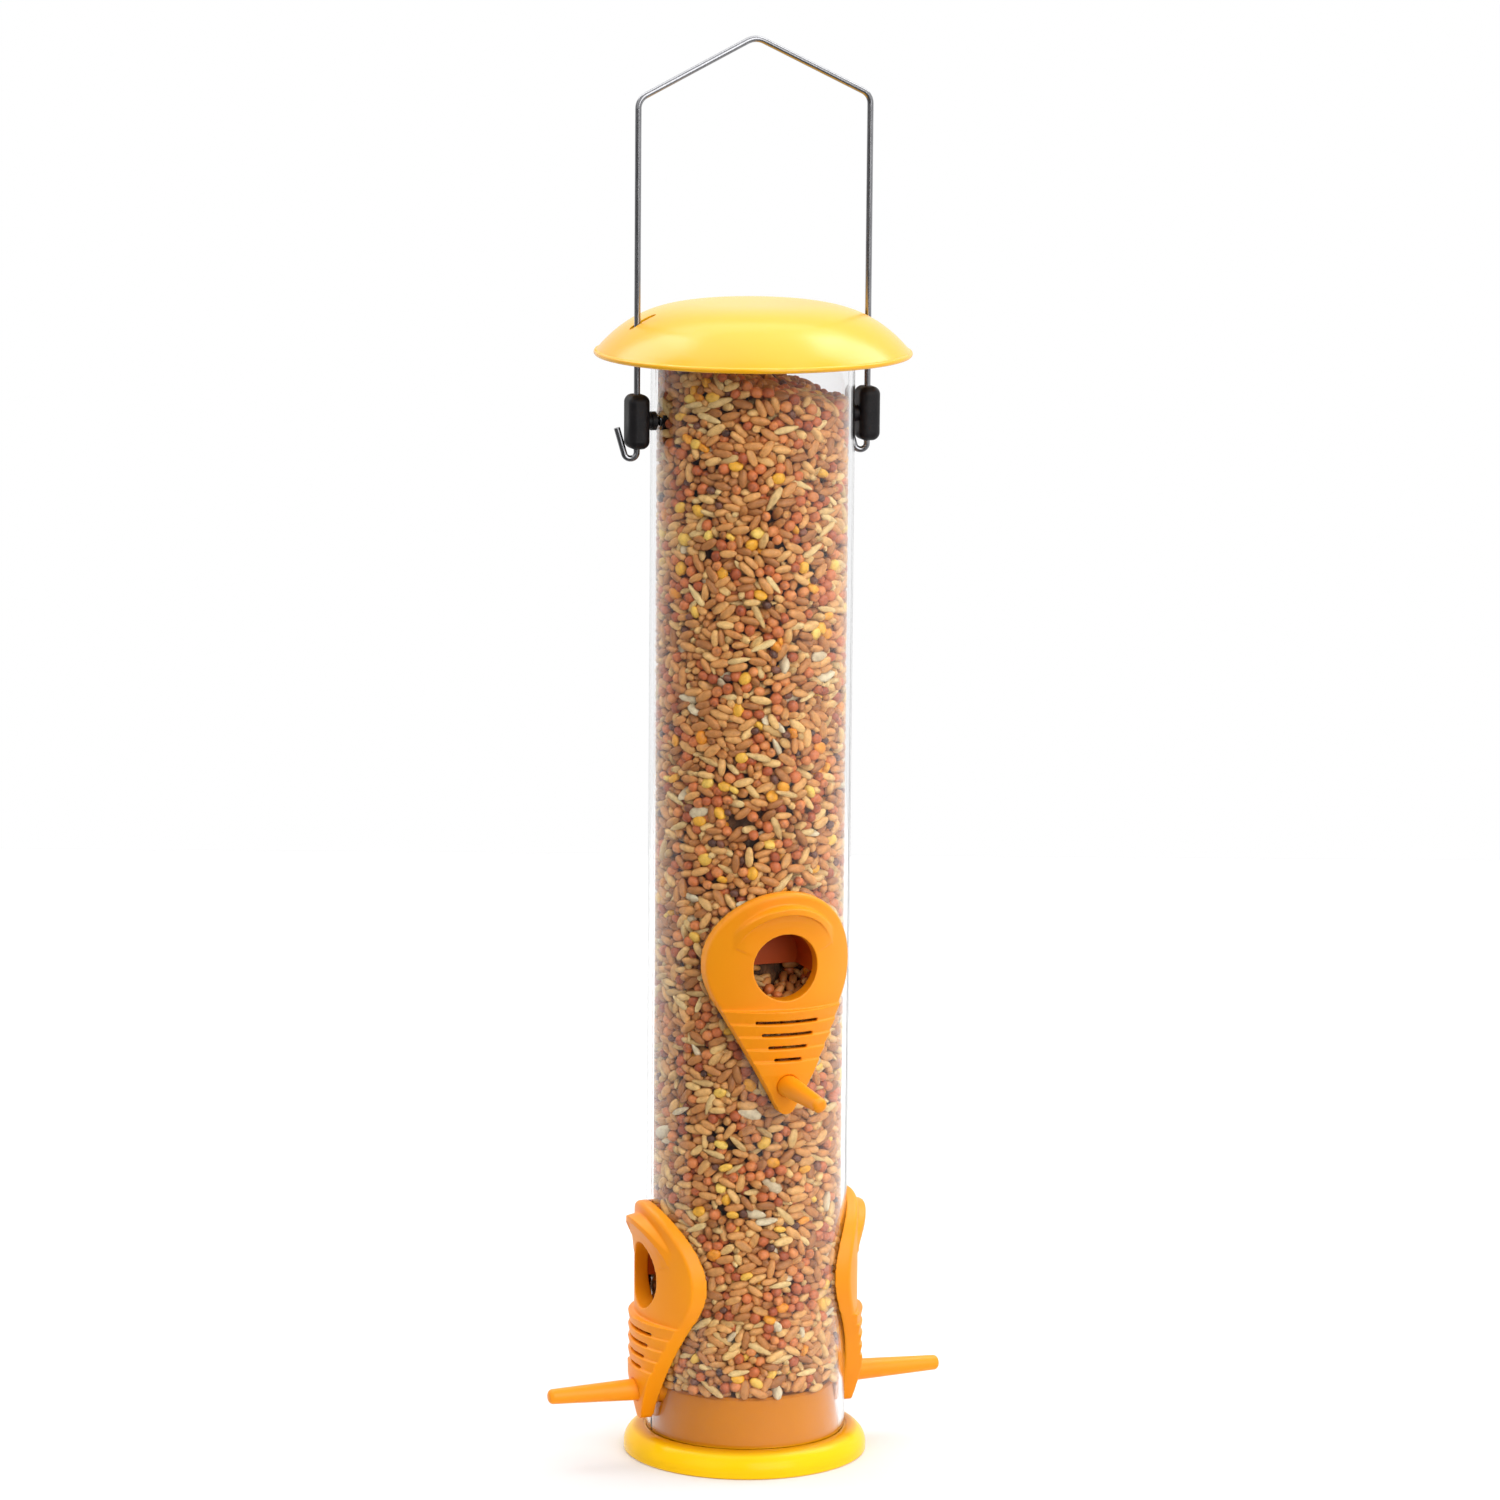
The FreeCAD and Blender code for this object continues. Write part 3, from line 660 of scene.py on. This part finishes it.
def scatter_grains():
    """Random first places for the grains, and which kind each is."""
    tries = rng.uniform(-1, 1, (90000, 3))
    low, high = SEED_FLOOR, HEAP_Z + 12 * MM
    points = np.column_stack([tries[:, 0] * SEED_R, tries[:, 1] * SEED_R,
                              low + (tries[:, 2] + 1) / 2 * (high - low)])
    flat = np.hypot(points[:, 0], points[:, 1])
    good = (flat < SEED_R - 1 * MM) & (flat > core_radius(points))
    good &= points[:, 2] < heap_height(points[:, 0], points[:, 1]) - 1 * MM
    good &= abs(push_from_parts(points, np.full(len(points), 0.5 * MM))).max(axis=1) < 0.4 * MM
    volume = (2 * SEED_R) ** 2 * (high - low) * good.sum() / len(points)
    shares = np.array([g[1] for g in GRAINS])
    sizes = np.array([4 / 3 * math.pi * g[2] * g[3] * g[4] * MM ** 3 for g in GRAINS])
    number = int(PACKING * volume / (shares * sizes).sum())
    kinds = rng.choice(len(GRAINS), number, p=shares / shares.sum())
    return points[good][:number], kinds[:min(number, good.sum())]


def settle_grains():
    """Push the grains apart until they lie against each other, the tube and what stands in it."""
    place, kind = scatter_grains()
    number = len(place)
    lean = rng.normal(0.0, 0.42, number)
    bearing = rng.uniform(0, 2 * math.pi, number)
    axis = np.column_stack([np.cos(bearing) * np.cos(lean), np.sin(bearing) * np.cos(lean), np.sin(lean)])
    size = rng.uniform(0.88, 1.12, number)
    reach = np.array([g[5] for g in GRAINS])[kind] * MM * size
    radius = np.array([g[6] for g in GRAINS])[kind] * MM * size
    owner = np.repeat(np.arange(number), 3)
    offset = (reach[:, None] * np.array([-1.0, 0.0, 1.0])).ravel()
    ball = np.repeat(radius, 3) * np.tile([0.92, 1.0, 0.92], number)
    spread = np.bincount(owner, offset ** 2, number) + (1.2 * MM) ** 2
    for step in range(SEED_STEPS):
        centres = place[owner] + axis[owner] * offset[:, None]
        if step % PAIRS_EVERY == 0:
            first, second = close_pairs(centres, PAIR_REACH)
            keep = owner[first] != owner[second]
            first, second = first[keep], second[keep]
        gap = centres[first] - centres[second]
        distance = np.linalg.norm(gap, axis=1) + 1e-9
        overlap = ball[first] + ball[second] - distance
        touching = overlap > 0
        a, b = first[touching], second[touching]
        push = gap[touching] * (0.5 * overlap[touching] / distance[touching])[:, None]
        move = np.zeros_like(centres)
        touches = np.bincount(a, minlength=len(centres)) + np.bincount(b, minlength=len(centres))
        for i in range(3):
            away = np.bincount(a, push[:, i], len(centres))
            move[:, i] = away - np.bincount(b, push[:, i], len(centres))
        move /= np.maximum(touches, 1)[:, None] ** 0.5
        move += 1.2 * push_from_parts(centres, ball)
        # a little drift outward keeps grains against the tube
        shift = np.column_stack([np.bincount(owner, move[:, i], number) for i in range(3)]) / 2.0
        flat = np.hypot(place[:, 0], place[:, 1]) + 1e-9
        shift[:, :2] += place[:, :2] / flat[:, None] * OUTWARD_DRIFT
        length = np.linalg.norm(shift, axis=1) + 1e-9
        shift *= np.minimum(1.0, MAX_STEP / length)[:, None]
        along = (move * axis[owner]).sum(axis=1)
        lever = (move - axis[owner] * along[:, None]) * offset[:, None]
        turn = np.column_stack([np.bincount(owner, lever[:, i], number) for i in range(3)]) / spread[:, None]
        place = place + shift
        axis = axis + 0.8 * turn
        axis /= np.linalg.norm(axis, axis=1)[:, None]
    return place, axis, kind, size


def grain_template(name, half_length, half_width, half_depth, around, along):
    """One grain, long axis X: rings between two pole points, with the kind's own crease or facets."""
    rows, shades = [(-half_length, 0.0, 0.0)], [0.55]
    for i in range(1, along):
        t = math.pi * i / along
        x = -math.cos(t)
        girth = math.sin(t)
        if name in ("oat", "kernel"):
            girth *= 1.0 - 0.30 * x
        if name == "wheat":
            girth = math.sin(t) ** 0.85 * (1.0 - 0.08 * x)
        for j in range(around):
            angle = 2 * math.pi * j / around
            y, z = math.cos(angle), math.sin(angle)
            shade = 1.0
            pull = 1.0
            if name == "wheat":
                # the crease is pulled in and darkened: painted shade in the groove; the germ end is made
                # darker
                crease = math.exp(-(min(abs(angle - 1.5 * math.pi), 9.0) / 0.28) ** 2)
                pull = 1.0 - 0.42 * crease * min(1.0, girth * 1.2)
                shade = 1.0 - 0.75 * crease
                if x > 0.72:
                    shade *= 0.72
            if name == "milo" and x > 0.75:
                shade = 0.45
            if name == "kernel":
                pull = 1.0 + 0.10 * math.cos(2 * angle)
            if name == "maize":
                pull = 1.0 / max(abs(y) * 1.05, abs(z) * 1.02, 0.72)
            rows.append((x * half_length, y * girth * pull * half_width, z * girth * pull * half_depth))
            shades.append(shade)
    rows.append((half_length, 0.0, 0.0))
    shades.append(0.6 if name in ("wheat", "oat") else 0.9)
    faces = []
    last = len(rows) - 1
    for j in range(around):
        k = (j + 1) % around
        faces.append((0, 1 + k, 1 + j))
        for i in range(along - 2):
            a, b = 1 + i * around, 1 + (i + 1) * around
            faces.append((a + j, a + k, b + k, b + j))
        top = 1 + (along - 2) * around
        faces.append((top + j, top + k, last))
    return np.array(rows) * MM, np.array(shades), faces


def joined_mesh(name, verts, faces, number, attributes, material):
    """One mesh of number copies of a template, from ready placed vertices."""
    per = len(verts) // number
    sizes = np.array([len(f) for f in faces])
    corners = np.concatenate([np.array(f) for f in faces])
    loops = (corners[None, :] + per * np.arange(number)[:, None]).ravel()
    totals = np.tile(sizes, number)
    mesh = bpy.data.meshes.new(name)
    mesh.vertices.add(len(verts))
    mesh.vertices.foreach_set("co", verts.astype(np.float32).ravel())
    mesh.loops.add(len(loops))
    mesh.loops.foreach_set("vertex_index", loops.astype(np.int32))
    mesh.polygons.add(len(totals))
    mesh.polygons.foreach_set("loop_start", (np.cumsum(totals) - totals).astype(np.int32))
    mesh.polygons.foreach_set("use_smooth", np.ones(len(totals), bool))
    mesh.update(calc_edges=True)
    for key, values in attributes.items():
        layer = mesh.attributes.new(key, "FLOAT", "POINT")
        layer.data.foreach_set("value", values.astype(np.float32))
    mesh.materials.append(material)
    piece = bpy.data.objects.new(name, mesh)
    bpy.context.collection.objects.link(piece)
    return piece


GRAIN_COLOURS = {
    "wheat": ([(0.0, (0.40, 0.150, 0.034)), (0.35, (0.64, 0.265, 0.066)), (0.75, (0.78, 0.40, 0.120)),
               (1.0, (0.86, 0.57, 0.21))], 0.42),
    "milo": ([(0.0, (0.40, 0.082, 0.020)), (0.5, (0.66, 0.180, 0.045)), (1.0, (0.78, 0.30, 0.085))], 0.36),
    "oat": ([(0.0, (0.60, 0.36, 0.12)), (1.0, (0.84, 0.62, 0.27))], 0.48),
    "kernel": ([(0.0, (0.64, 0.51, 0.31)), (1.0, (0.82, 0.72, 0.48))], 0.45),
    "maize": ([(0.0, (0.84, 0.30, 0.015)), (0.5, (0.90, 0.46, 0.03)), (1.0, (0.92, 0.66, 0.14))], 0.34),
    "dark": ([(0.0, (0.07, 0.025, 0.014)), (1.0, (0.24, 0.085, 0.04))], 0.36),
}
# grains of a kind are shared out among pieces of at most about this many faces
MAX_PIECE_FACES = 90000


def grain_frames(axis):
    """Each grain's width and depth directions, turned at random about its long axis."""
    helper = np.where(abs(axis[:, 2:3]) < 0.9, np.array([[0.0, 0.0, 1.0]]), np.array([[1.0, 0.0, 0.0]]))
    side = np.cross(helper, axis)
    side /= np.linalg.norm(side, axis=1)[:, None]
    top = np.cross(axis, side)
    roll = rng.uniform(0, 2 * math.pi, len(axis))
    width_way = side * np.cos(roll)[:, None] + top * np.sin(roll)[:, None]
    return width_way, np.cross(axis, width_way)


def add_grains(name, grains, points, shades, faces, material):
    """One piece of ready placed grains of one kind, from (place, long, width and depth ways, size, tone)."""
    place, axis, width_way, depth_way, size, tone = grains
    scaled = points[None, :, :] * size[:, None, None]
    verts = (place[:, None, :]
             + scaled[:, :, 0:1] * axis[:, None, :]
             + scaled[:, :, 1:2] * width_way[:, None, :]
             + scaled[:, :, 2:3] * depth_way[:, None, :]).reshape(-1, 3)
    # nothing passes through the tube's wall
    radius = np.hypot(verts[:, 0], verts[:, 1])
    verts[:, :2] *= np.minimum(1.0, SEED_R / radius)[:, None]
    attributes = {"tone": np.repeat(tone, len(points)), "shade": np.tile(shades, len(place))}
    piece = joined_mesh(name, verts, faces, len(place), attributes, material)
    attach(piece, "feeder")
    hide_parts("seed_fill")


def add_seed():
    place, axis, kind, size = settle_grains()
    width_way, depth_way = grain_frames(axis)
    tone = rng.uniform(0, 1, len(place))
    flat = np.hypot(place[:, 0], place[:, 1])
    heap_top = heap_height(place[:, 0], place[:, 1])
    fine = (flat > SEED_R - FINE_DEPTH) | near_port(place) | (place[:, 2] > heap_top - FINE_TOP)
    for index, (name, _, half_length, half_width, half_depth, _, _) in enumerate(GRAINS):
        material = grain_material(name + "_grain", *GRAIN_COLOURS[name])
        for label, chosen, around, along in (("near_wall", fine, 10, 7), ("inner", ~fine, 6, 4)):
            template = grain_template(name, half_length, half_width, half_depth, around, along)
            members = np.nonzero((kind == index) & chosen)[0]
            members = members[np.argsort(place[members, 2], kind="stable")]
            batches = max(1, math.ceil(len(members) * len(template[2]) / MAX_PIECE_FACES))
            for batch, now in enumerate(np.array_split(members, batches)):
                if len(now) == 0:
                    continue
                grains = (place[now], axis[now], width_way[now], depth_way[now], size[now], tone[now])
                add_grains("seed_%s_%s_%d" % (name, label, batch + 1), grains, *template, material)
    print("grains", len(place))


def add_seed_core():
    """Bumpy body of grain behind the outer layers, so that no light shows through between them; its dark
    colour is painted shade.
    """
    around, rows = 96, 120
    ripple_height = 0.5 * MM
    bottom = SEED_FLOOR + 1 * MM
    verts, faces = [], []
    for i in range(rows + 1):
        for j in range(around):
            angle = 2 * math.pi * j / around
            direction = (math.cos(angle), math.sin(angle))
            ripple = ripple_height * math.sin(37.0 * angle + 2.1 * i) * math.cos(1.7 * i + 11.0 * angle)
            radius = CORE_R + ripple
            top = heap_height(radius * direction[0], radius * direction[1]) - TOP_LAYER
            z = bottom + (top - bottom) * i / rows
            test = np.array([[direction[0] * radius, direction[1] * radius, z]])
            if near_port(test)[0]:
                radius = CORE_R_AT_PORTS + ripple
            verts.append((direction[0] * radius, direction[1] * radius, z))
    for i in range(rows):
        for j in range(around):
            k = (j + 1) % around
            faces.append((i * around + j, i * around + k, (i + 1) * around + k, (i + 1) * around + j))
    for ring, order in ((0, -1), (rows, 1)):
        loop = [ring * around + j for j in range(around)]
        centre = len(verts)
        corners = [verts[k] for k in loop]
        verts.append((0.0, 0.0, sum(c[2] for c in corners) / around))
        for j in range(around):
            pair = (loop[j], loop[(j + 1) % around])
            faces.append((*pair[::order], centre))
    mesh = bpy.data.meshes.new("seed_core")
    mesh.from_pydata(verts, [], faces)
    mesh.materials.append(core_material())
    core = bpy.data.objects.new("seed_core", mesh)
    bpy.context.collection.objects.link(core)
    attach(core, "feeder")
    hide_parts("seed_fill")


add_seed()
add_seed_core()
